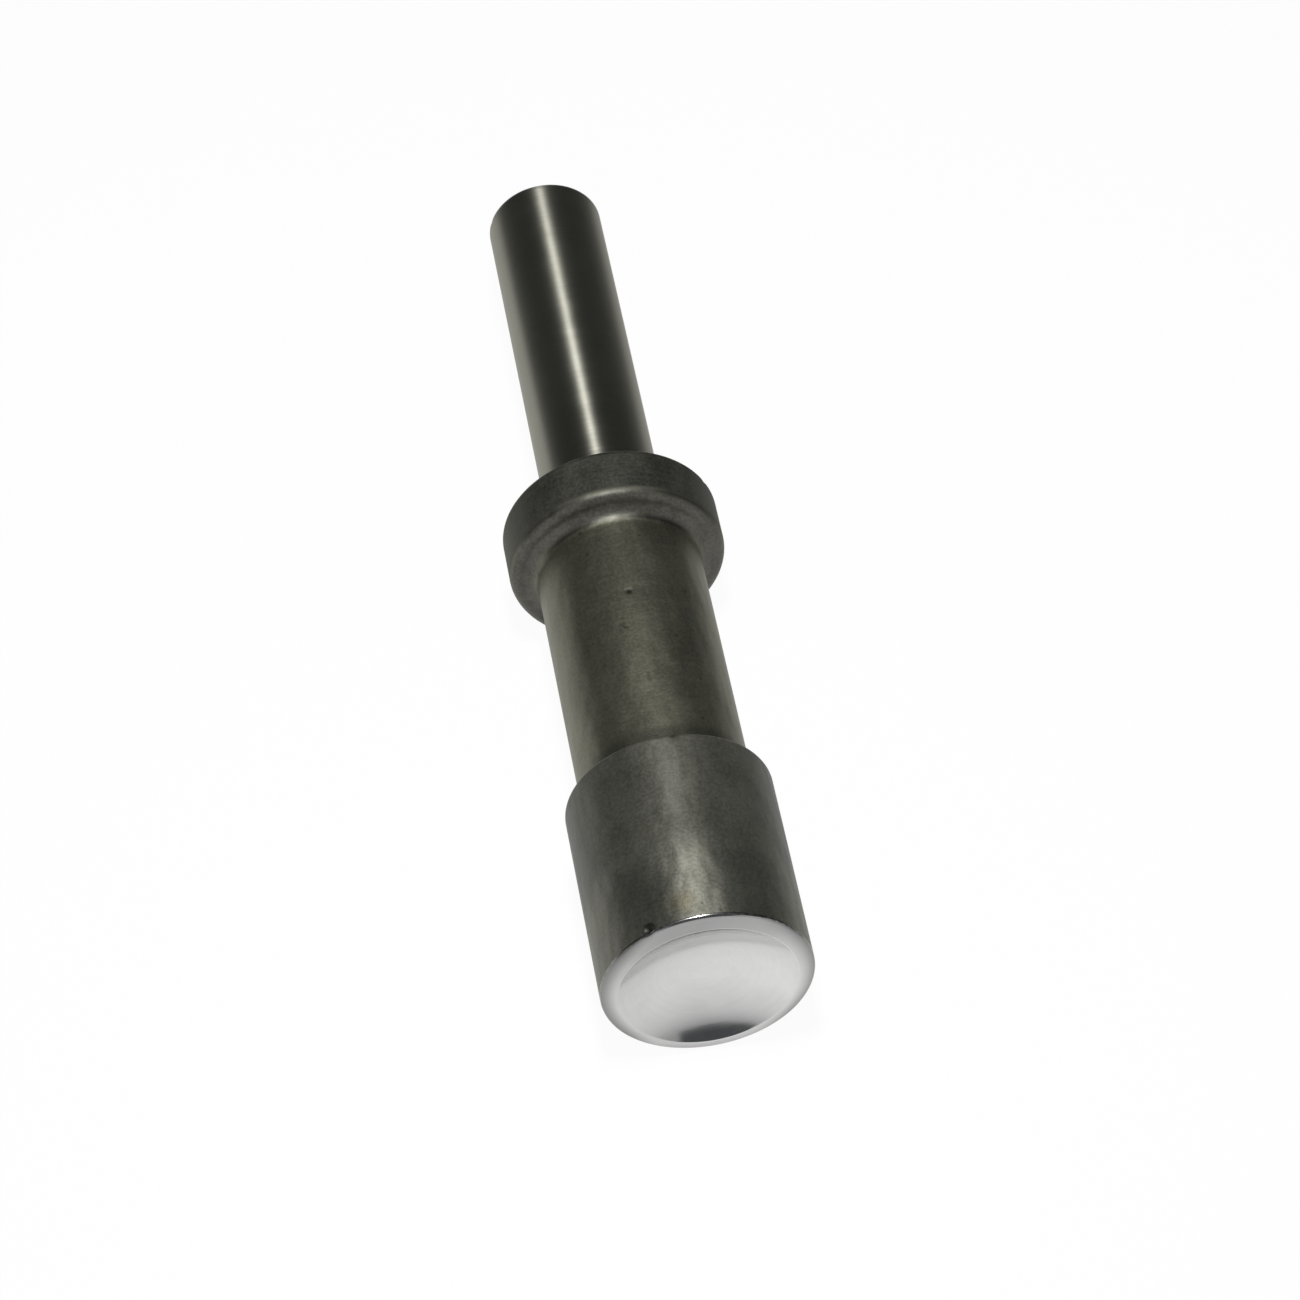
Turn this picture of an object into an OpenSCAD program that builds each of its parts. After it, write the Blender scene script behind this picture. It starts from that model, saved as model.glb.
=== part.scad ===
// Rivet set for an air hammer, turned from one bar of tool steel.
// The tool lies on its side: the axis runs along Y, the struck end points to +Y and the cup to -Y.
// The origin is on the axis, where the straight ground shank meets its tapered root.

/* [Shank] */
// Diameter of the straight ground shank (0.401 inch)
shank_d = 10.185; // [9.5:0.005:12.7]
// Length from the back of the collar to the struck end
shank_len = 38.1; // [25:0.1:60]
// Rounding of the edge of the struck end
end_round = 1.0; // [0.2:0.1:2.5]

/* [Tapered root] */
// Length of the taper between the straight shank and the collar
root_len = 4.0; // [2.5:0.1:10]
// Growth of the radius over the length of the taper
root_rise = 0.25; // [0.05:0.05:0.8]
// Fillet between the taper and the back of the collar
root_fillet = 1.4; // [0.4:0.1:1.8]

/* [Collar] */
// Diameter of the retaining collar
collar_d = 18.5; // [17:0.1:26]
// Width of the collar along the axis
collar_w = 5.3; // [3:0.1:12]
// Rounding of the back edge of the collar
collar_back_round = 0.7; // [0.2:0.1:1]
// Rounding of the front edge of the collar
collar_front_round = 0.9; // [0.2:0.1:1]

/* [Neck] */
// Diameter of the neck
neck_d = 14.1; // [11:0.1:15]
// Length of the neck between the collar and the head
neck_len = 25.8; // [8:0.1:80]
// Fillet between the collar and the neck
neck_fillet = 1.2; // [0.3:0.1:2]

/* [Head] */
// Diameter of the head
head_d = 17.1; // [16:0.1:26]
// Length of the head, from the shoulder to the mouth of its cup
head_len = 18.9; // [6:0.1:40]
// Fillet between the neck and the shoulder of the head
shoulder_fillet = 0.5; // [0.2:0.1:1]
// Rounding of the edge of the shoulder
shoulder_round = 0.4; // [0.1:0.1:0.8]

/* [Rim and cup] */
// Width of the rim, from the outer wall of the head to the mouth of the cup
rim_w = 1.3; // [1:0.05:3]
// Lean of the rim back from the mouth, in degrees
rim_lean = 17; // [5:1:30]
// Rounding of the outer edge of the rim
rim_edge_round = 0.3; // [0.1:0.05:0.6]
// Depth of the cup, whose hollow is a part of a sphere
cup_depth = 2.2; // [0.5:0.05:4]
// Rounding of the edge between the cup and the rim
mouth_round = 0.1; // [0.05:0.05:0.3]

/* [Hidden] */
$fn = 96;

shank_r = shank_d / 2;
collar_r = collar_d / 2;
neck_r = neck_d / 2;
head_r = head_d / 2;
mouth_r = head_r - rim_w;

// Stations along the axis, from the struck end to the mouth of the cup
end_y = shank_len - root_len;
collar_back_y = -root_len;
collar_front_y = collar_back_y - collar_w;
shoulder_y = collar_front_y - neck_len;
rim_y = shoulder_y - head_len;

// Lean of the tapered root from the axis, in degrees
root_lean = atan(root_rise / root_len);
root_r = shank_r + root_rise;

// The fillet in front of the collar is limited by the wall that the collar leaves for it
least_flat = 0.05;
neck_fillet_r = min(neck_fillet, collar_r - collar_front_round - neck_r - least_flat);

// How far a rounding crosses the next surface, so that the two meet in one clean edge
bite = 0.002;

// The rounding of the rim's outer edge lies in the steel and touches the wall and the rim
edge_x = head_r - rim_edge_round;
edge_y = rim_y + (rim_edge_round + (edge_x - mouth_r) * sin(rim_lean)) / cos(rim_lean);

// The centre of the cup's sphere is on the axis, in front of the mouth
cup_r = (pow(mouth_r, 2) + pow(cup_depth, 2)) / (2 * cup_depth);
cup_y = rim_y + cup_depth - cup_r;

// The rounding of the mouth lies in the steel and touches the rim and the cup
// Its centre is found from a place just behind the sharp mouth, by a move outwards along the rim
lip_r = mouth_round - bite;
near_x = mouth_r - lip_r * sin(rim_lean);
near_y = rim_y + lip_r * cos(rim_lean);
near_along = near_x * cos(rim_lean) + (near_y - cup_y) * sin(rim_lean);
near_across = near_x * sin(rim_lean) - (near_y - cup_y) * cos(rim_lean);
lip_move = sqrt(pow(cup_r + lip_r, 2) - pow(near_across, 2)) - near_along;
lip_x = near_x + lip_move * cos(rim_lean);
lip_y = near_y + lip_move * sin(rim_lean);

// How far a section reaches into the next one
lap = 0.3;

// Half section of a disc from low to high on the axis, with its two outer edges rounded
module disc_section(r, low, high, low_round, high_round) {
    w = high - low;
    translate([0, low]) square([r - low_round, w - high_round]);
    translate([0, low + low_round]) square([r - high_round, w - low_round]);
    translate([0, low + low_round]) square([r, w - low_round - high_round]);
    translate([r - low_round, low + low_round]) circle(low_round);
    translate([r - high_round, high - high_round]) circle(high_round);
}

// Fillet in the corner between a flat face along x and a wall that rises along y and leans to the axis
module fillet_section(radius, lean) {
    centre_x = radius * (1 - sin(lean)) / cos(lean);
    touch_x = centre_x - radius * cos(lean);
    touch_y = radius - radius * sin(lean);
    difference() {
        polygon([
            [-lap, -lap],
            [centre_x, -lap],
            [centre_x, radius],
            [touch_x, touch_y],
            [touch_x - lap, touch_y]
        ]);
        translate([centre_x, radius]) circle(radius);
    }
}

// Straight ground shank with the rounded edge of its struck end
module shank_section() {
    translate([0, -lap]) square([shank_r, end_y - end_round + lap]);
    square([shank_r - end_round, end_y]);
    translate([shank_r - end_round, end_y - end_round]) circle(end_round);
}

// Taper that seats in the hammer's nose, and its fillet into the collar
module root_section() {
    polygon([
        [0, collar_back_y - lap],
        [root_r, collar_back_y - lap],
        [root_r, collar_back_y],
        [shank_r, 0],
        [0, 0]
    ]);
    translate([root_r, collar_back_y]) fillet_section(root_fillet, root_lean);
}

// Collar that the hammer's retainer holds
module collar_section() {
    disc_section(collar_r, collar_front_y, collar_back_y, collar_front_round, collar_back_round);
}

// Plain neck with a fillet at each end
module neck_section() {
    translate([0, shoulder_y - lap]) square([neck_r, neck_len + 2 * lap]);
    translate([neck_r, collar_front_y]) mirror([0, 1]) fillet_section(neck_fillet_r, 0);
    translate([neck_r, shoulder_y]) fillet_section(shoulder_fillet, 0);
}

// Hollow of the cup, with the rounded edge of its mouth
module cup_section() {
    share = cup_r / (cup_r + lip_r);
    cup_touch_y = cup_y + (lip_y - cup_y) * share;
    rim_touch_x = lip_x + lip_r * sin(rim_lean);
    translate([0, cup_y]) circle(cup_r);
    difference() {
        polygon([
            [0, rim_y - lap],
            [rim_touch_x, rim_y - lap],
            [rim_touch_x, lip_y - lip_r * cos(rim_lean)],
            [lip_x, lip_y],
            [lip_x * share, cup_touch_y],
            [0, cup_touch_y]
        ]);
        translate([lip_x, lip_y]) circle(mouth_round);
    }
}

// Leaning rim in front of the head's wall
module rim_section() {
    reach = rim_edge_round - bite;
    polygon([
        [0, rim_y],
        [mouth_r, rim_y],
        [edge_x + reach * sin(rim_lean), edge_y - reach * cos(rim_lean)],
        [edge_x, edge_y],
        [0, edge_y]
    ]);
}

// Head with a square shoulder and, in its end, the shallow cup that forms the rivet's head
module head_section() {
    difference() {
        union() {
            disc_section(head_r, edge_y - rim_edge_round, shoulder_y, rim_edge_round, shoulder_round);
            rim_section();
        }
        cup_section();
    }
}

// The whole tool is one turned solid: its sections share the axis and have no seam
module rivet_set() {
    color("#3c3c36")
        rotate([-90, 0, 0])
            rotate_extrude() {
                shank_section();
                root_section();
                collar_section();
                neck_section();
                head_section();
            }
}

rivet_set();
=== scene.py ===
"""Looks of a one-piece rivet set for an air hammer, lying on a white table."""

import math

import bmesh
import bpy
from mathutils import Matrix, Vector


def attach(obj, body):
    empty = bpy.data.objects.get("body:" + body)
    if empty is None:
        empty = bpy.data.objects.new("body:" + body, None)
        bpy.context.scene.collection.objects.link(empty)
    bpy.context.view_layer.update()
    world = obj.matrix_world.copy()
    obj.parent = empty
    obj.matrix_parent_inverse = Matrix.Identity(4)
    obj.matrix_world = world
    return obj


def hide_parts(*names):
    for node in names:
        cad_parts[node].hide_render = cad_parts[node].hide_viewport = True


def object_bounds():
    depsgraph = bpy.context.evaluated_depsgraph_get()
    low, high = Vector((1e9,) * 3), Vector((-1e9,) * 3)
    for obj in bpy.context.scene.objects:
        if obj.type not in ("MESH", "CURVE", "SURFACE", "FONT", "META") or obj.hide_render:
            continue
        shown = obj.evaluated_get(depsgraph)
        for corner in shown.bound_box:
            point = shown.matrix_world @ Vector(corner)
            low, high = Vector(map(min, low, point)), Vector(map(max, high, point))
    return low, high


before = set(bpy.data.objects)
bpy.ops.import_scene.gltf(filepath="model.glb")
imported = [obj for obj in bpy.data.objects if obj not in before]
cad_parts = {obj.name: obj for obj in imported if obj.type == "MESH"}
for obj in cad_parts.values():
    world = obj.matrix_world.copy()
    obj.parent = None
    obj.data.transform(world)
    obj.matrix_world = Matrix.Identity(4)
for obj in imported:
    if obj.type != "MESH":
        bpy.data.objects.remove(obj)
cad_low, cad_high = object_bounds()

MM = 0.001

# Sizes of the turned tool, as its solid has them, in millimetres, with the lean of the rim in degrees
SHANK_R = 5.0925
END_ROUND = 1.0
ROOT_LEN = 4.0
ROOT_RISE = 0.25
ROOT_FILLET = 1.4
COLLAR_R = 9.25
COLLAR_W = 5.3
COLLAR_BACK_ROUND = 0.7
COLLAR_FRONT_ROUND = 0.9
NECK_R = 7.05
NECK_LEN = 25.8
NECK_FILLET = 1.2
HEAD_R = 8.55
HEAD_LEN = 18.9
SHOULDER_FILLET = 0.5
SHOULDER_ROUND = 0.4
RIM_W = 1.3
RIM_LEAN = 17.0
RIM_EDGE = 0.3
CUP_DEPTH = 2.2
MOUTH_ROUND = 0.1

# Stations along the axis: the struck end comes from the frame, the rim's is where its mouth would be sharp
END_Y = cad_high.y / MM
COLLAR_BACK_Y = -ROOT_LEN
COLLAR_FRONT_Y = COLLAR_BACK_Y - COLLAR_W
SHOULDER_Y = COLLAR_FRONT_Y - NECK_LEN
RIM_Y = SHOULDER_Y - HEAD_LEN

# Radius of the cup's mouth, if it were sharp
MOUTH_R = HEAD_R - RIM_W

# Fineness of the turned mesh: points round the axis, and steps along lines, knocks and arcs
AROUND = 288
LINE_STEP = 0.8
KNOCK_STEP = 0.1
ARC_STEP = 0.12

# Least number of steps of an arc
ARC_LEAST = 6

# Distance from a line's ends of the close points that keep its shading flat up to the roundings
GUARD = 0.1

# A ring of a smaller radius is one point on the axis
AXIS_LIMIT = 0.001

# Finishes, in the order of the tool's material slots
GROUND, COLLAR, NECK, HEAD, POLISH = range(5)

# Small knocks of use: station along the axis, degrees round it from straight up, radius and depth
KNOCKS = [
    (-53.1, -33.0, 0.55, 0.30),
    (-18.2, -4.3, 0.36, 0.07),
    (-35.3, 1.7, 0.45, 0.06),
    (-8.6, -38.0, 0.50, 0.06),
    (-4.4, 62.0, 0.45, 0.06),
    (-53.0, 118.0, 0.50, 0.05),
    (-35.4, 201.0, 0.45, 0.05),
    (33.6, 140.0, 0.40, 0.05),
    (33.5, -75.0, 0.35, 0.05),
    (-8.7, 156.0, 0.45, 0.06),
]

# Tint of the gloss at grazing angles, on the oxide skin and on the polish
SKIN_EDGE_TINT = (0.95, 0.95, 0.93)
POLISH_EDGE_TINT = (1.0, 1.0, 1.0)

# Darkening on the upper side of the neck, in its corners: the heights where it starts and is full, and its
# fade from the shoulder
CORNER_DARK_LOW = 2.5
CORNER_DARK_HIGH = 5.5
CORNER_DARK_FADE_START = 1.2
CORNER_DARK_FADE_END = 2.8

# How far behind the collar's front its rounding starts to take the tone of the wall
WALL_START = 0.2

# The head is barer past a line this far from its shoulder, which wanders and fades to the front and the back
BARE_FROM = 10.5
BARE_WANDER = 3.0
BARE_FADE_FRONT = 1.0
BARE_FADE_BACK = 3.0

# A faint heat stain on the head: its middle, in metres, and its reach
HEAT_SPOT = Vector((-1.9, -51.8, 8.33)) * MM
HEAT_REACH = 1.8

# Middle of the polish in metres, a little off the axis, which leaves more painted shade on the rim's left
POLISH_CENTRE = Vector((0.12, 0.0, 0.2)) * MM

# Painted shade on the rim grows outwards between two radii, and only to its left and right, from one
# distance to another
RIM_SHADE_START = HEAD_R - 1.6
RIM_SHADE_FULL = HEAD_R + 0.25
RIM_SHADE_SIDE_START = 3.0
RIM_SHADE_SIDE_FULL = 7.0

# Painted shade on the polish grows to the left, from one place across the cup to another, up to this share
LEFT_SHADE_START = 3.0
LEFT_SHADE_FULL = -7.0
LEFT_SHADE = 0.22

# The dark skin begins on the rim's edge between two radii, on a line that wanders
SKIN_START = HEAD_R - 0.02
SKIN_FULL = HEAD_R + 0.05
SKIN_WANDER = 0.1

# The floor touches the front edge of the collar's wall and the end of the head's wall
FLOOR_TOUCH_Y = COLLAR_FRONT_Y + COLLAR_FRONT_ROUND
FLOOR_RISE = (COLLAR_R - HEAD_R) / (FLOOR_TOUCH_Y - RIM_Y - RIM_EDGE)

# Half the width of the floor, in metres
FLOOR_HALF = 3.0

# Share of the floor's own light in what the camera sees and in what metal mirrors; the rest keeps the shadow
SEEN_GLOW = 0.96
MIRRORED_GLOW = 0.7

# Pool of light that the metal mirrors: its even part round the tool and its fade
POOL_EDGE = 9.0
POOL_FADE = 30.0

# How fast the pool fades to each side, as shares of that fade
POOL_LEFT = 0.22
POOL_RIGHT = 0.8
POOL_BACK = 0.5
POOL_AHEAD = 1.4

# The light that is left in front of the tool, and the distance at which it is full
FRONT_GLOW = 0.4
FRONT_REACH = 20.0

# The head's soft shade on the pool: its strength at the foot of the rim, and its reach ahead and behind
FOOT_SHADE = 0.14
FOOT_AHEAD = 5.0
FOOT_BEHIND = 2.86

# Two glowing cards in front of the tool, painted light that the metal mirrors: the places of their near and
# far ends, their height and their glow
CARD_NEAR_X = 50.0
CARD_NEAR_Y = -170.0
CARD_FAR_X = 200.0
CARD_FAR_Y = -50.0
CARD_HEIGHT = 70.0
CARD_GLOW = 0.42

# A dim grey room, and a lamp above the head: its size, its power in watts, its place and the point it faces
ROOM_COLOUR = (0.077, 0.08, 0.083)
LAMP_W = 20.0
LAMP_LEN = 45.0
LAMP_POWER = 0.45
LAMP_PLACE = Vector((-12.5, -58.0, 200.0)) * MM
LAMP_TARGET = Vector((0.0, -20.0, 0.0)) * MM

# Camera of the photograph, fitted to the tool's outlines: its target, angles in degrees and distance
CAMERA_TARGET = Vector((1.113, -18.921, 0.158)) * MM
CAMERA_TURN = -9.357
CAMERA_RISE = 48.807
CAMERA_DISTANCE = 358.53

# The camera's lens and sensor, and the nearest distance that it draws
CAMERA_LENS = 119.08
CAMERA_SENSOR = 36.0
CAMERA_CLIP = 10.0


class Profile:
    """Half section of the tool: points (y, r), each stretch's finish, and how far each point is an edge."""

    def __init__(self, y, r):
        self.points = [(y, r)]
        self.edges = [0.0]
        self.finishes = []

    def add(self, y, r, finish, edge=0.0):
        self.points.append((y, r))
        self.edges.append(edge)
        self.finishes.append(finish)

    def line(self, y, r, finish):
        """A straight stretch, with a close point at each end, and finer steps where a wall has a knock."""
        y0, r0 = self.points[-1]
        length = math.hypot(y - y0, r - r0)
        inner = length - 2 * GUARD
        count = max(1, round(inner / LINE_STEP))
        stops = [GUARD + inner * i / count for i in range(count + 1)] if inner > GUARD else []
        if r == r0:
            knocks = [(y0 - at_y, 2 * size) for at_y, at_turn, size, deep in KNOCKS]
            grid = [GUARD + KNOCK_STEP * i for i in range(1, int(inner / KNOCK_STEP))]
            fine = [stop for stop in grid if any(abs(stop - at) < reach for at, reach in knocks)]
            coarse = [stop for stop in stops if all(abs(stop - near) > KNOCK_STEP / 2 for near in fine)]
            stops = sorted(coarse + fine)
        for stop in stops + [length]:
            t = stop / length
            self.add(y0 + (y - y0) * t, r0 + (r - r0) * t, finish)

    def arc(self, y, r, radius, start, end, finish, edge=0.0):
        """An arc round the centre (y, r), in degrees from +Y outwards; a worn edge is strongest half way."""
        count = max(ARC_LEAST, round(radius * math.radians(abs(end - start)) / ARC_STEP))
        for i in range(1, count + 1):
            a = math.radians(start + (end - start) * i / count)
            worn = edge * math.sin(math.pi * i / count)
            self.add(y + radius * math.cos(a), r + radius * math.sin(a), finish, worn)


def tool_profile():
    """The half section from the middle of the struck end to the bottom of the cup."""
    # Taper of the root and the centre of its fillet
    lean = math.degrees(math.atan(ROOT_RISE / ROOT_LEN))
    lean_sin, lean_cos = math.sin(math.radians(lean)), math.cos(math.radians(lean))
    root_y = COLLAR_BACK_Y + ROOT_FILLET
    root_r = SHANK_R + ROOT_RISE + ROOT_FILLET * (1 - lean_sin) / lean_cos

    # Ends of the collar's wall
    back_y = COLLAR_BACK_Y - COLLAR_BACK_ROUND
    front_y = COLLAR_FRONT_Y + COLLAR_FRONT_ROUND

    # Directions (y, r) along the leaning rim and straight out of it, and the centre of its outer rounding
    rim = math.radians(RIM_LEAN)
    outwards = Vector((math.sin(rim), math.cos(rim)))
    ahead = Vector((-math.cos(rim), math.sin(rim)))
    mouth = Vector((RIM_Y, MOUTH_R))
    edge = mouth - ahead * RIM_EDGE
    edge += outwards * (HEAD_R - RIM_EDGE - edge.y) / outwards.y

    # The cup's sphere, and the centre of the mouth's rounding, which touches the rim and the cup
    cup_r = (mouth.y ** 2 + CUP_DEPTH ** 2) / (2 * CUP_DEPTH)
    cup = Vector((RIM_Y + CUP_DEPTH - cup_r, 0.0))
    lip = mouth - ahead * MOUTH_ROUND
    reach = math.sqrt((cup_r + MOUTH_ROUND) ** 2 - (lip - cup).dot(ahead) ** 2)
    lip += outwards * (reach - (lip - cup).dot(outwards))
    lip_turn = math.degrees(math.atan2(lip.y, lip.x - cup.x))

    p = Profile(END_Y, 0.0)
    p.line(END_Y, SHANK_R - END_ROUND, GROUND)
    p.arc(END_Y - END_ROUND, SHANK_R - END_ROUND, END_ROUND, 0, 90, GROUND, edge=1.0)
    p.line(0.0, SHANK_R, GROUND)
    p.line(root_y - ROOT_FILLET * lean_sin, root_r - ROOT_FILLET * lean_cos, GROUND)
    p.arc(root_y, root_r, ROOT_FILLET, 270 - lean, 180, GROUND)
    p.line(COLLAR_BACK_Y, COLLAR_R - COLLAR_BACK_ROUND, COLLAR)
    p.arc(back_y, COLLAR_R - COLLAR_BACK_ROUND, COLLAR_BACK_ROUND, 0, 90, COLLAR, edge=1.0)
    p.line(front_y, COLLAR_R, COLLAR)
    p.arc(front_y, COLLAR_R - COLLAR_FRONT_ROUND, COLLAR_FRONT_ROUND, 90, 180, NECK)
    p.line(COLLAR_FRONT_Y, NECK_R + NECK_FILLET, NECK)
    p.arc(COLLAR_FRONT_Y - NECK_FILLET, NECK_R + NECK_FILLET, NECK_FILLET, 0, -90, NECK)
    p.line(SHOULDER_Y + SHOULDER_FILLET, NECK_R, NECK)
    p.arc(SHOULDER_Y + SHOULDER_FILLET, NECK_R + SHOULDER_FILLET, SHOULDER_FILLET, 270, 180, NECK)
    p.line(SHOULDER_Y, HEAD_R - SHOULDER_ROUND, HEAD)
    p.arc(SHOULDER_Y - SHOULDER_ROUND, HEAD_R - SHOULDER_ROUND, SHOULDER_ROUND, 0, 90, HEAD, edge=0.4)
    p.line(edge.x, HEAD_R, HEAD)
    p.arc(edge.x, edge.y, RIM_EDGE, 90, 180 - RIM_LEAN, POLISH, edge=1.0)
    p.line(*(lip + ahead * MOUTH_ROUND), POLISH)
    p.arc(lip.x, lip.y, MOUTH_ROUND, 180 - RIM_LEAN, 180 + lip_turn, POLISH)
    p.arc(cup.x, 0.0, cup_r, lip_turn, 0, POLISH)
    return p


def knocked_in(y, r, turn):
    """How far the knocks press in a point of the skin; turn is in degrees from straight up."""
    in_cup = y < SHOULDER_Y and r < MOUTH_R
    if in_cup:
        return 0.0
    depth = 0.0
    for at_y, at_turn, size, deep in KNOCKS:
        across = math.radians((turn - at_turn + 180) % 360 - 180) * r
        apart = math.hypot(y - at_y, across) / size
        depth += deep * math.exp(-2 * apart * apart)
    return depth


def turned(name, profile):
    """A closed mesh turned round the Y axis from the half section, with the knocks pressed in."""
    mesh = bpy.data.meshes.new(name)
    bm = bmesh.new()
    edge_layer = bm.verts.layers.float.new("edge")
    knock_layer = bm.verts.layers.float.new("knock")
    rings = []
    for (y, r), edge in zip(profile.points, profile.edges):
        on_axis = r < AXIS_LIMIT
        ring = []
        for k in range(1 if on_axis else AROUND):
            turn = 360 * k / AROUND
            deep = 0.0 if on_axis else knocked_in(y, r, turn)
            a = math.radians(turn)
            out = (r - deep) * MM
            v = bm.verts.new((out * math.sin(a), y * MM, out * math.cos(a)))
            v[edge_layer] = edge
            v[knock_layer] = deep
            ring.append(v)
        rings.append(ring)
    for near, far, finish in zip(rings, rings[1:], profile.finishes):
        for k in range(AROUND):
            n = k + 1
            corners = [near[k % len(near)], near[n % len(near)], far[n % len(far)], far[k % len(far)]]
            face = bm.faces.new(list(dict.fromkeys(corners)))
            face.material_index = finish
            face.smooth = True
    bmesh.ops.recalc_face_normals(bm, faces=bm.faces)
    bm.to_mesh(mesh)
    bm.free()
    piece = bpy.data.objects.new(name, mesh)
    bpy.context.scene.collection.objects.link(piece)
    return piece


def add(tree, kind, inputs=None, **settings):
    """A node with its settings; each input is set to a value or linked to a socket."""
    node = tree.nodes.new("ShaderNode" + kind)
    for key, value in settings.items():
        setattr(node, key, value)
    for key, value in (inputs or {}).items():
        if isinstance(value, bpy.types.NodeSocket):
            tree.links.new(value, node.inputs[key])
        else:
            node.inputs[key].default_value = value
    return node


def calc(tree, operation, a, b=0.0, c=0.0):
    """The result of a Math node."""
    return add(tree, "Math", {0: a, 1: b, 2: c}, operation=operation).outputs[0]


def weigh(tree, parts, start=0.0):
    """A start value plus each part's value times its weight."""
    total = start
    for value, weight in parts:
        total = calc(tree, "MULTIPLY_ADD", value, weight, total)
    return total


def spread(tree, value, low, high, to_low=0.0, to_high=1.0):
    """A value stretched smoothly from one range to another."""
    inputs = {"Value": value, "From Min": low, "From Max": high, "To Min": to_low, "To Max": to_high}
    return add(tree, "MapRange", inputs, interpolation_type="SMOOTHSTEP").outputs["Result"]


def blend(tree, factor, first, second):
    """A colour between two colours."""
    node = add(tree, "Mix", {"Factor": factor}, data_type="RGBA")
    for socket, value in ((node.inputs[6], first), (node.inputs[7], second)):
        if isinstance(value, bpy.types.NodeSocket):
            tree.links.new(value, socket)
        else:
            socket.default_value = (*value, 1.0)
    return node.outputs[2]


def noise(tree, where, scale, detail=2.0, roughness=0.6):
    """The value of a noise texture."""
    inputs = {"Vector": where, "Scale": scale, "Detail": detail, "Roughness": roughness}
    return add(tree, "TexNoise", inputs).outputs["Fac"]


def axis_place(tree, centre=(0.0, 0.0, 0.0)):
    """A point's place from a centre, its distance from the line along Y there and its outward direction."""
    where = add(tree, "TexCoord").outputs["Object"]
    shifted = add(tree, "VectorMath", {0: where, 1: centre}, operation="SUBTRACT").outputs[0]
    spot = add(tree, "SeparateXYZ", {0: shifted}).outputs
    across = add(tree, "CombineXYZ", {"X": spot["X"], "Z": spot["Z"]}).outputs[0]
    radius = add(tree, "VectorMath", {0: across}, operation="LENGTH").outputs["Value"]
    outward = add(tree, "VectorMath", {0: across}, operation="NORMALIZE").outputs[0]
    return spot, radius, outward


def group(name, inputs, outputs):
    """An empty node group with its value sockets, and the nodes where it starts and ends."""
    tree = bpy.data.node_groups.new(name, "ShaderNodeTree")
    for socket, value in inputs.items():
        made = tree.interface.new_socket(socket, in_out="INPUT", socket_type="NodeSocketFloat")
        made.default_value = value
    for socket in outputs:
        tree.interface.new_socket(socket, in_out="OUTPUT", socket_type="NodeSocketFloat")
    return tree, tree.nodes.new("NodeGroupInput").outputs, tree.nodes.new("NodeGroupOutput").inputs


def place(tree, name, values):
    """A node group in a material, with its values."""
    node = tree.nodes.new("ShaderNodeGroup")
    node.node_tree = bpy.data.node_groups[name]
    for key, value in values.items():
        node.inputs[key].default_value = value
    return node.outputs


def make_turning_marks():
    """Lines that turning, grinding or polishing leaves round the axis, on walls and end faces alike."""
    tree, start, end = group("turning_marks", {"Lines": 3000.0, "Wander": 0.5}, ["Marks"])
    spot, radius, outward = axis_place(tree)
    run = calc(tree, "MULTIPLY", calc(tree, "ADD", spot["Y"], radius), start["Lines"])
    slow = add(tree, "VectorMath", {0: outward, "Scale": start["Wander"]}, operation="SCALE").outputs[0]
    along = add(tree, "CombineXYZ", {"Y": run}).outputs[0]
    where = add(tree, "VectorMath", {0: slow, 1: along}, operation="ADD").outputs[0]
    lines = noise(tree, where, 1.0, detail=3.0, roughness=0.65)
    tree.links.new(spread(tree, lines, 0.25, 0.75), end["Marks"])


def make_oxide_skin():
    """Uneven dark oxide skin: clouds and waves drawn out along the axis, a fine grain and sparse specks."""
    sizes = {"Cloud size": 300.0, "Wave size": 520.0, "Grain size": 4000.0, "Speck size": 1500.0}
    tree, start, end = group("oxide_skin", sizes, ["Clouds", "Waves", "Grain", "Specks"])
    where = add(tree, "TexCoord").outputs["Object"]
    drawn_out = add(tree, "VectorMath", {0: where, 1: (1.0, 0.5, 1.0)}, operation="MULTIPLY").outputs[0]
    clouds = noise(tree, drawn_out, start["Cloud size"], detail=4.0)
    waves = noise(tree, drawn_out, start["Wave size"], detail=1.0)
    grain = noise(tree, where, start["Grain size"])
    specks = noise(tree, where, start["Speck size"], detail=1.0)
    tree.links.new(spread(tree, clouds, 0.3, 0.7), end["Clouds"])
    tree.links.new(spread(tree, waves, 0.2, 0.8), end["Waves"])
    tree.links.new(spread(tree, grain, 0.3, 0.7), end["Grain"])
    tree.links.new(spread(tree, specks, 0.7, 0.8), end["Specks"])


def make_rubbed_edges():
    """Mask of the edges where handling has rubbed the skin thin, broken up along their length."""
    tree, start, end = group("rubbed_edges", {"Break size": 900.0, "Reach": 0.5}, ["Rubbed"])
    edge = add(tree, "Attribute", attribute_name="edge").outputs["Fac"]
    broken = noise(tree, add(tree, "TexCoord").outputs["Object"], start["Break size"], detail=3.0)
    worn = calc(tree, "MULTIPLY_ADD", broken, 0.8, edge)
    least = calc(tree, "SUBTRACT", 1.7, start["Reach"])
    tree.links.new(spread(tree, calc(tree, "SUBTRACT", worn, least), 0.0, 0.25), end["Rubbed"])


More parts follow.
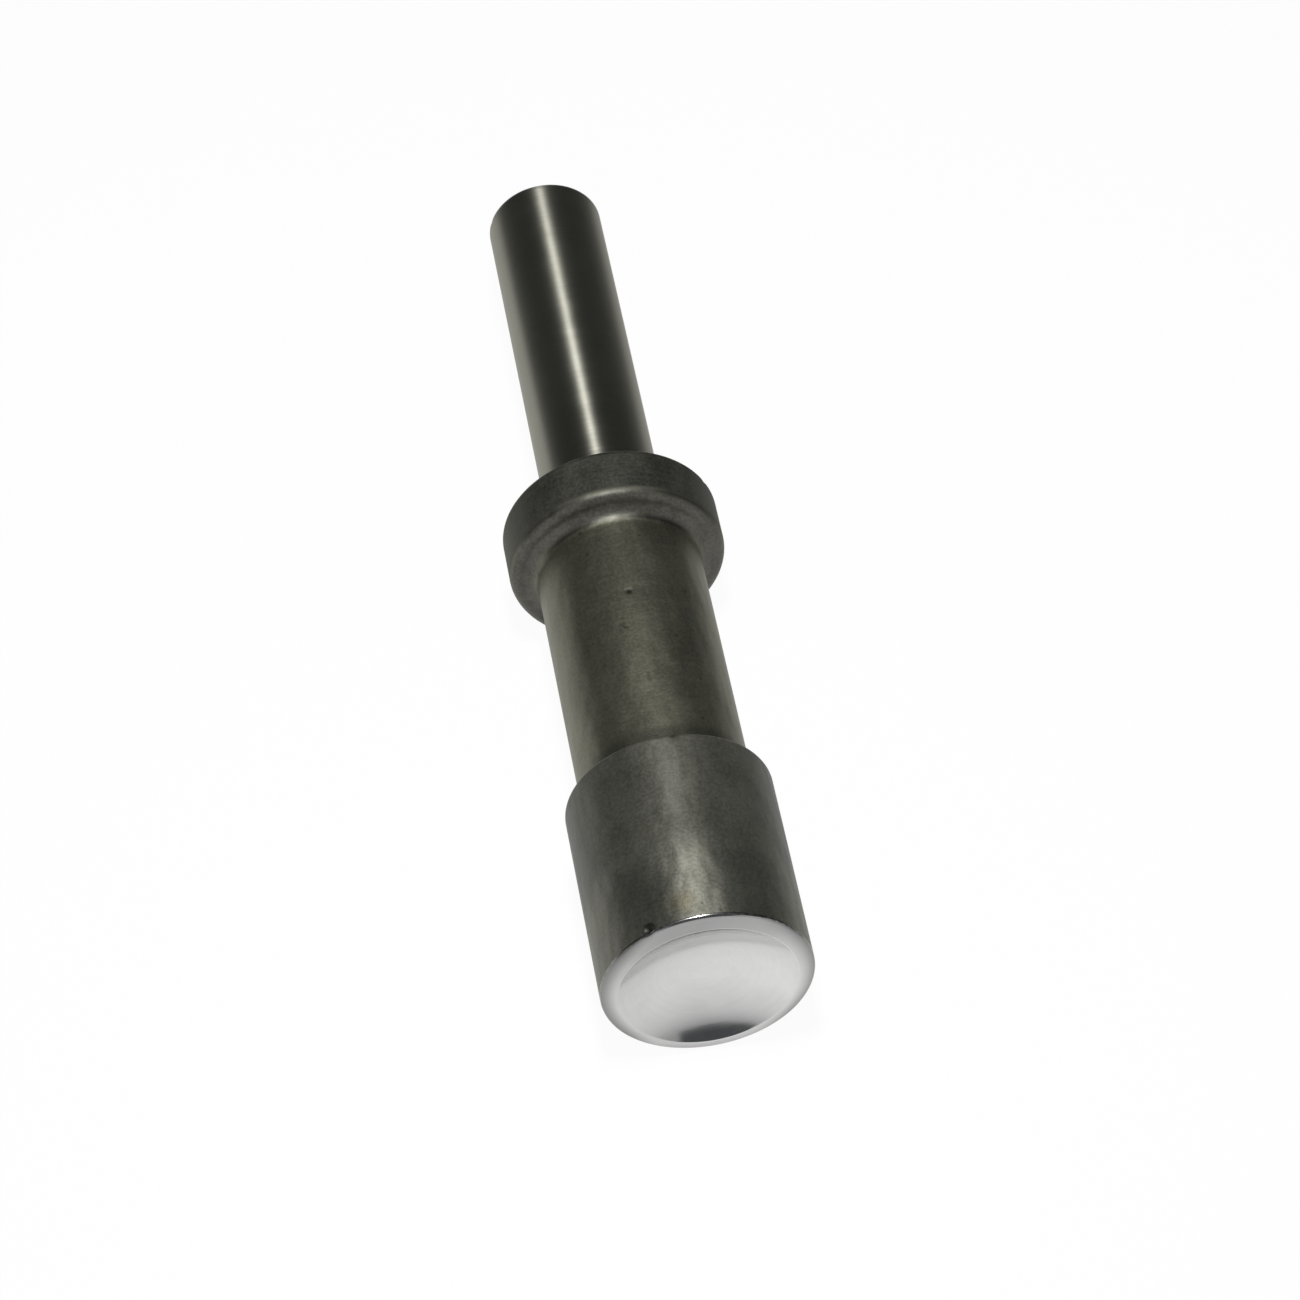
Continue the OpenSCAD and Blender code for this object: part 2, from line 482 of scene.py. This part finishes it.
def steel(name, edge_tint, brushed=0.0):
    """A metal material with its node tree and shader; brushed stretches its gloss along the axis."""
    material = bpy.data.materials.new(name)
    material.use_nodes = True
    tree = material.node_tree
    shader = tree.nodes["Principled BSDF"].inputs
    shader["Metallic"].default_value = 1.0
    shader["Specular Tint"].default_value = (*edge_tint, 1.0)
    if brushed:
        tangent = add(tree, "Tangent", direction_type="RADIAL", axis="Y").outputs[0]
        tree.links.new(tangent, shader["Tangent"])
        shader["Anisotropic"].default_value = brushed
        shader["Anisotropic Rotation"].default_value = 0.25
    return material, tree, shader


def raise_relief(tree, shader, parts):
    """Fine relief from patterns, each with its height in millimetres."""
    bump = add(tree, "Bump", {"Strength": 1.0, "Distance": MM, "Height": weigh(tree, parts)})
    tree.links.new(bump.outputs[0], shader["Normal"])


def ground_shank():
    """Shank ground round and round: dark, with a thin line of gloss along its length."""
    material, tree, shader = steel("ground_shank", SKIN_EDGE_TINT, brushed=0.97)
    dark, light, bare = (0.235, 0.23, 0.193), (0.3, 0.294, 0.25), (0.44, 0.43, 0.4)
    marks = place(tree, "turning_marks", {"Lines": 9000.0, "Wander": 1.5})["Marks"]
    bands = place(tree, "turning_marks", {"Lines": 420.0, "Wander": 0.6})["Marks"]
    clouds = place(tree, "oxide_skin", {"Cloud size": 260.0})["Clouds"]
    rubbed = place(tree, "rubbed_edges", {"Break size": 700.0, "Reach": 0.45})["Rubbed"]
    tone = weigh(tree, [(clouds, 0.35), (marks, 0.35), (bands, 0.3)])
    colour = blend(tree, tone, dark, light)
    colour = blend(tree, calc(tree, "MULTIPLY", rubbed, 0.35), colour, bare)
    tree.links.new(colour, shader["Base Color"])
    tree.links.new(spread(tree, tone, 0.1, 0.9, to_low=0.335, to_high=0.385), shader["Roughness"])
    raise_relief(tree, shader, [(marks, 0.001)])
    return material


def skin_layers(tree, dark, light, cloud_size, marks_share):
    """Colour, tone and relief patterns of the oxide skin on a turned wall."""
    speck, knock_shade_tint, bare = (0.06, 0.06, 0.053), (0.025, 0.025, 0.022), (0.4, 0.39, 0.365)
    marks = place(tree, "turning_marks", {"Lines": 2600.0, "Wander": 0.8})["Marks"]
    sizes = {"Cloud size": cloud_size, "Grain size": 3600.0, "Speck size": 1100.0}
    skin = place(tree, "oxide_skin", sizes)
    rubbed = place(tree, "rubbed_edges", {"Break size": 800.0, "Reach": 0.5})["Rubbed"]
    knock = add(tree, "Attribute", attribute_name="knock").outputs["Fac"]
    rest = (1 - marks_share) / 2
    tone = weigh(tree, [(skin["Grain"], rest), (skin["Clouds"], rest), (marks, marks_share)])
    colour = blend(tree, tone, dark, light)
    colour = blend(tree, calc(tree, "MULTIPLY", skin["Specks"], 0.45), colour, speck)
    # Painted shade in the knocks: the deeper a knock, the darker its colour
    colour = blend(tree, spread(tree, knock, 0.005, 0.06, to_high=0.85), colour, knock_shade_tint)
    colour = blend(tree, calc(tree, "MULTIPLY", rubbed, 0.4), colour, bare)
    return colour, tone, marks, skin


def collar_skin():
    """Dull, grainy skin of the collar's wall and back."""
    material, tree, shader = steel("collar_skin", SKIN_EDGE_TINT)
    dark, light = (0.062, 0.062, 0.052), (0.133, 0.132, 0.111)
    colour, tone, marks, skin = skin_layers(tree, dark, light, cloud_size=450.0, marks_share=0.2)
    tree.links.new(colour, shader["Base Color"])
    tree.links.new(spread(tree, tone, 0.1, 0.9, to_low=0.58, to_high=0.7), shader["Roughness"])
    raise_relief(tree, shader, [(marks, 0.002), (skin["Grain"], 0.006), (skin["Specks"], -0.012)])
    return material


def neck_skin():
    """Satin skin of the neck, darker on its upper side in its two corners, with a matt front of the collar.
    """
    material, tree, shader = steel("neck_skin", SKIN_EDGE_TINT, brushed=0.1)
    dark, light, corner_dark_tint = (0.142, 0.139, 0.106), (0.232, 0.228, 0.175), (0.07, 0.069, 0.058)
    front_dark, front_light, wall_tint = (0.05, 0.049, 0.041), (0.13, 0.127, 0.106), (0.1, 0.099, 0.083)
    colour, tone, marks, skin = skin_layers(tree, dark, light, cloud_size=300.0, marks_share=0.15)
    coordinates = add(tree, "TexCoord").outputs
    spot = add(tree, "SeparateXYZ", {0: coordinates["Object"]}).outputs
    facing = add(tree, "SeparateXYZ", {0: coordinates["Normal"]}).outputs
    forward = calc(tree, "MULTIPLY", facing["Y"], -1.0)
    # Darker colour on the upper side, in the corners at the collar and at the shoulder
    on_top = spread(tree, spot["Z"], CORNER_DARK_LOW * MM, CORNER_DARK_HIGH * MM)
    at_collar = calc(tree, "MULTIPLY", on_top, spread(tree, forward, 0.15, 0.45))
    from_shoulder = calc(tree, "SUBTRACT", spot["Y"], SHOULDER_Y * MM)
    at_shoulder = spread(tree, from_shoulder, CORNER_DARK_FADE_START * MM, CORNER_DARK_FADE_END * MM, 0.6, 0.0)
    corner_dark = calc(tree, "MAXIMUM", at_collar, calc(tree, "MULTIPLY", on_top, at_shoulder))
    colour = blend(tree, corner_dark, colour, corner_dark_tint)
    behind_front = calc(tree, "SUBTRACT", spot["Y"], COLLAR_FRONT_Y * MM)
    wall = spread(tree, behind_front, WALL_START * MM, COLLAR_FRONT_ROUND * MM)
    colour = blend(tree, wall, colour, wall_tint)
    matt = spread(tree, forward, 0.35, 0.8)
    colour = blend(tree, matt, colour, blend(tree, tone, front_dark, front_light))
    tree.links.new(colour, shader["Base Color"])
    tree.links.new(weigh(tree, [(matt, -0.55)], start=1.0), shader["Metallic"])
    gloss = weigh(tree, [(at_collar, -0.03), (wall, 0.2), (tone, 0.06)], start=0.44)
    tree.links.new(gloss, shader["Roughness"])
    relief = [(marks, 0.002), (skin["Grain"], 0.003), (skin["Waves"], 0.05), (skin["Specks"], -0.006)]
    raise_relief(tree, shader, relief)
    return material


def head_skin():
    """Mottled skin of the head: matt at the shoulder, barer and glossier past a ragged line near the rim."""
    material, tree, shader = steel("head_skin", SKIN_EDGE_TINT, brushed=0.6)
    stain_tint = (0.16, 0.135, 0.07)
    where = add(tree, "TexCoord").outputs["Object"]
    station = add(tree, "SeparateXYZ", {0: where}).outputs["Y"]
    ragged = calc(tree, "MULTIPLY_ADD", noise(tree, where, 500.0, detail=3.0), BARE_WANDER * MM, station)
    line = SHOULDER_Y - BARE_FROM
    matt = spread(tree, ragged, (line - BARE_FADE_FRONT) * MM, (line + BARE_FADE_BACK) * MM)
    dark = blend(tree, matt, (0.105, 0.105, 0.087), (0.052, 0.052, 0.042))
    light = blend(tree, matt, (0.19, 0.189, 0.158), (0.11, 0.11, 0.09))
    colour, tone, marks, skin = skin_layers(tree, dark, light, cloud_size=380.0, marks_share=0.12)
    apart = add(tree, "VectorMath", {0: where, 1: HEAT_SPOT}, operation="DISTANCE").outputs["Value"]
    stain = spread(tree, apart, 0.0, HEAT_REACH * MM, to_low=0.4, to_high=0.0)
    tree.links.new(blend(tree, stain, colour, stain_tint), shader["Base Color"])
    tree.links.new(weigh(tree, [(matt, -0.36)], start=0.88), shader["Metallic"])
    tree.links.new(weigh(tree, [(tone, 0.08)], start=0.42), shader["Roughness"])
    relief = [(marks, 0.0015), (skin["Grain"], 0.003), (skin["Waves"], 0.06), (skin["Specks"], -0.006)]
    raise_relief(tree, shader, relief)
    return material


def polished_cup():
    """Bright cup and rim with fine polishing rings, painted shade on the rim's sides and towards the cup's
    left, and dark on its outer edge.
    """
    material, tree, shader = steel("polished_cup", POLISH_EDGE_TINT)
    dark, light = (0.63, 0.63, 0.625), (0.705, 0.705, 0.7)
    painted_shade_tint, skin_tint = (0.235, 0.235, 0.23), (0.2, 0.198, 0.18)
    marks = place(tree, "turning_marks", {"Lines": 5200.0, "Wander": 1.2})["Marks"]
    skin = place(tree, "oxide_skin", {"Cloud size": 330.0, "Grain size": 2500.0})
    tone = weigh(tree, [(skin["Clouds"], 0.6), (marks, 0.4)])
    colour = blend(tree, tone, dark, light)
    spot, apart = axis_place(tree, POLISH_CENTRE)[:2]
    # Painted shade: the rim darker towards its left and right sides
    aside = calc(tree, "ABSOLUTE", spot["X"])
    at_side = spread(tree, aside, RIM_SHADE_SIDE_START * MM, RIM_SHADE_SIDE_FULL * MM)
    rim_side_shade = calc(tree, "MULTIPLY", at_side, spread(tree, apart, RIM_SHADE_START * MM, RIM_SHADE_FULL * MM))
    # Painted shade: the polish darker towards the left of the cup
    left_shade = spread(tree, spot["X"], LEFT_SHADE_FULL * MM, LEFT_SHADE_START * MM, to_low=LEFT_SHADE, to_high=0.0)
    colour = blend(tree, calc(tree, "MAXIMUM", rim_side_shade, left_shade), colour, painted_shade_tint)
    radius = axis_place(tree)[1]
    ragged = calc(tree, "MULTIPLY_ADD", skin["Grain"], SKIN_WANDER * MM, radius)
    skinned = spread(tree, ragged, SKIN_START * MM, SKIN_FULL * MM)
    tree.links.new(blend(tree, skinned, colour, skin_tint), shader["Base Color"])
    tree.links.new(weigh(tree, [(tone, 0.06), (skinned, 0.08)], start=0.11), shader["Roughness"])
    raise_relief(tree, shader, [(marks, 0.0004)])
    return material


def pool_of_light(tree):
    """Strength of the light that the metal mirrors in the floor: even round the tool and fading from it."""
    spot = add(tree, "SeparateXYZ", {0: add(tree, "TexCoord").outputs["Object"]}).outputs
    behind = calc(tree, "SUBTRACT", spot["Y"], (END_Y - FLOOR_TOUCH_Y) * MM)
    ahead = calc(tree, "SUBTRACT", (RIM_Y - FLOOR_TOUCH_Y) * MM, spot["Y"])
    to_back = calc(tree, "MULTIPLY", behind, POOL_BACK)
    to_front = calc(tree, "MULTIPLY", ahead, POOL_AHEAD)
    beyond = calc(tree, "MAXIMUM", calc(tree, "MAXIMUM", to_back, to_front), 0.0)
    to_right = calc(tree, "MULTIPLY", calc(tree, "MAXIMUM", spot["X"], 0.0), POOL_RIGHT)
    to_left = calc(tree, "MULTIPLY", calc(tree, "MINIMUM", spot["X"], 0.0), -POOL_LEFT)
    away = add(tree, "CombineXYZ", {"X": calc(tree, "ADD", to_right, to_left), "Y": beyond}).outputs[0]
    distance = add(tree, "VectorMath", {0: away}, operation="LENGTH").outputs["Value"]
    past = calc(tree, "MAXIMUM", calc(tree, "SUBTRACT", distance, POOL_EDGE * MM), 0.0)
    pool = calc(tree, "DIVIDE", POOL_FADE * MM, calc(tree, "ADD", past, POOL_FADE * MM))
    pool = calc(tree, "MAXIMUM", pool, spread(tree, ahead, 0.0, FRONT_REACH * MM, to_high=FRONT_GLOW))
    shade = spread(tree, ahead, 0.0, FOOT_AHEAD * MM, to_low=FOOT_SHADE, to_high=0.0)
    shade = calc(tree, "MULTIPLY", shade, spread(tree, ahead, -FOOT_BEHIND * MM, 0.0))
    return calc(tree, "MULTIPLY", pool, calc(tree, "SUBTRACT", 1.0, shade))


def white_table():
    """Pale floor: white to the eye, a pool of light in the metal, with some of the shadow kept."""
    material = bpy.data.materials.new("white_table")
    material.use_nodes = True
    tree = material.node_tree
    shader = tree.nodes["Principled BSDF"]
    shader.inputs["Base Color"].default_value = (0.85, 0.85, 0.85, 1.0)
    shader.inputs["Roughness"].default_value = 0.9
    paths = add(tree, "LightPath").outputs
    mirrored = calc(tree, "MAXIMUM", paths["Is Glossy Ray"], paths["Is Transmission Ray"])
    in_metal = calc(tree, "MULTIPLY", mirrored, pool_of_light(tree))
    glow = add(tree, "Emission", {"Strength": calc(tree, "MAXIMUM", paths["Is Camera Ray"], in_metal)})
    seen_share = calc(tree, "MULTIPLY", paths["Is Camera Ray"], SEEN_GLOW)
    mirrored_share = calc(tree, "MULTIPLY", mirrored, MIRRORED_GLOW)
    share = calc(tree, "MAXIMUM", seen_share, mirrored_share)
    mix = add(tree, "MixShader", {0: share, 1: shader.outputs[0], 2: glow.outputs[0]})
    tree.links.new(mix.outputs[0], tree.nodes["Material Output"].inputs["Surface"])
    return material


def lay_floor():
    """A floor that the lying tool touches at the collar and at the head."""
    mesh = bpy.data.meshes.new("floor")
    corners = [(x * FLOOR_HALF, y * FLOOR_HALF, 0) for x, y in ((-1, -1), (1, -1), (1, 1), (-1, 1))]
    mesh.from_pydata(corners, [], [(0, 1, 2, 3)])
    mesh.materials.append(white_table())
    floor = bpy.data.objects.new("floor", mesh)
    bpy.context.scene.collection.objects.link(floor)
    floor.location = (0, FLOOR_TOUCH_Y * MM, -COLLAR_R * MM)
    floor.rotation_euler = (-math.atan(FLOOR_RISE), 0, 0)


def stand_cards():
    """Two glowing cards in front of the tool, left and right of the camera, which only the metal mirrors:
    painted light, not lamps.
    """
    material = bpy.data.materials.new("glowing_card")
    material.use_nodes = True
    tree = material.node_tree
    # Painted light: the cards glow by themselves, and the camera does not see them
    glow = add(tree, "Emission", {"Strength": CARD_GLOW}).outputs[0]
    tree.links.new(glow, tree.nodes["Material Output"].inputs["Surface"])
    for side in (-1, 1):
        mesh = bpy.data.meshes.new("card")
        near = Vector((side * CARD_NEAR_X, CARD_NEAR_Y, -COLLAR_R)) * MM
        far = Vector((side * CARD_FAR_X, CARD_FAR_Y, -COLLAR_R)) * MM
        rise = Vector((0, 0, CARD_HEIGHT)) * MM
        mesh.from_pydata([near, far, far + rise, near + rise], [], [(0, 1, 2, 3)])
        mesh.materials.append(material)
        card = bpy.data.objects.new("card", mesh)
        card.visible_camera = False
        bpy.context.scene.collection.objects.link(card)


def set_lights():
    """A dim grey room and one soft lamp above the head."""
    world = bpy.data.worlds.new("room")
    bpy.context.scene.world = world
    world.use_nodes = True
    world.node_tree.nodes["Background"].inputs["Color"].default_value = (*ROOM_COLOUR, 1.0)
    lamp = bpy.data.lights.new("lamp", "AREA")
    lamp.shape = "RECTANGLE"
    lamp.size = LAMP_W * MM
    lamp.size_y = LAMP_LEN * MM
    lamp.energy = LAMP_POWER
    stand = bpy.data.objects.new("lamp", lamp)
    bpy.context.scene.collection.objects.link(stand)
    stand.location = LAMP_PLACE
    stand.rotation_euler = (LAMP_TARGET - LAMP_PLACE).to_track_quat("-Z", "Y").to_euler()


def set_camera():
    """The photograph's camera: it looks down on the tool from the front, a little from the left."""
    turn, rise = math.radians(CAMERA_TURN), math.radians(CAMERA_RISE)
    back = Vector((math.sin(turn) * math.cos(rise), -math.cos(turn) * math.cos(rise), math.sin(rise)))
    data = bpy.data.cameras.new("camera")
    data.lens = CAMERA_LENS
    data.sensor_width = CAMERA_SENSOR
    data.clip_start = CAMERA_CLIP * MM
    camera = bpy.data.objects.new("camera", data)
    bpy.context.scene.collection.objects.link(camera)
    camera.location = CAMERA_TARGET + back * CAMERA_DISTANCE * MM
    camera.rotation_euler = (-back).to_track_quat("-Z", "Y").to_euler()
    bpy.context.scene.camera = camera


bpy.context.scene.view_settings.view_transform = "Standard"
make_turning_marks()
make_oxide_skin()
make_rubbed_edges()

tool = turned("turned_rivet_set", tool_profile())
for finish in (ground_shank, collar_skin, neck_skin, head_skin, polished_cup):
    tool.data.materials.append(finish())
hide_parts("rivet_set")
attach(tool, "root")
lay_floor()
stand_cards()
set_lights()
set_camera()
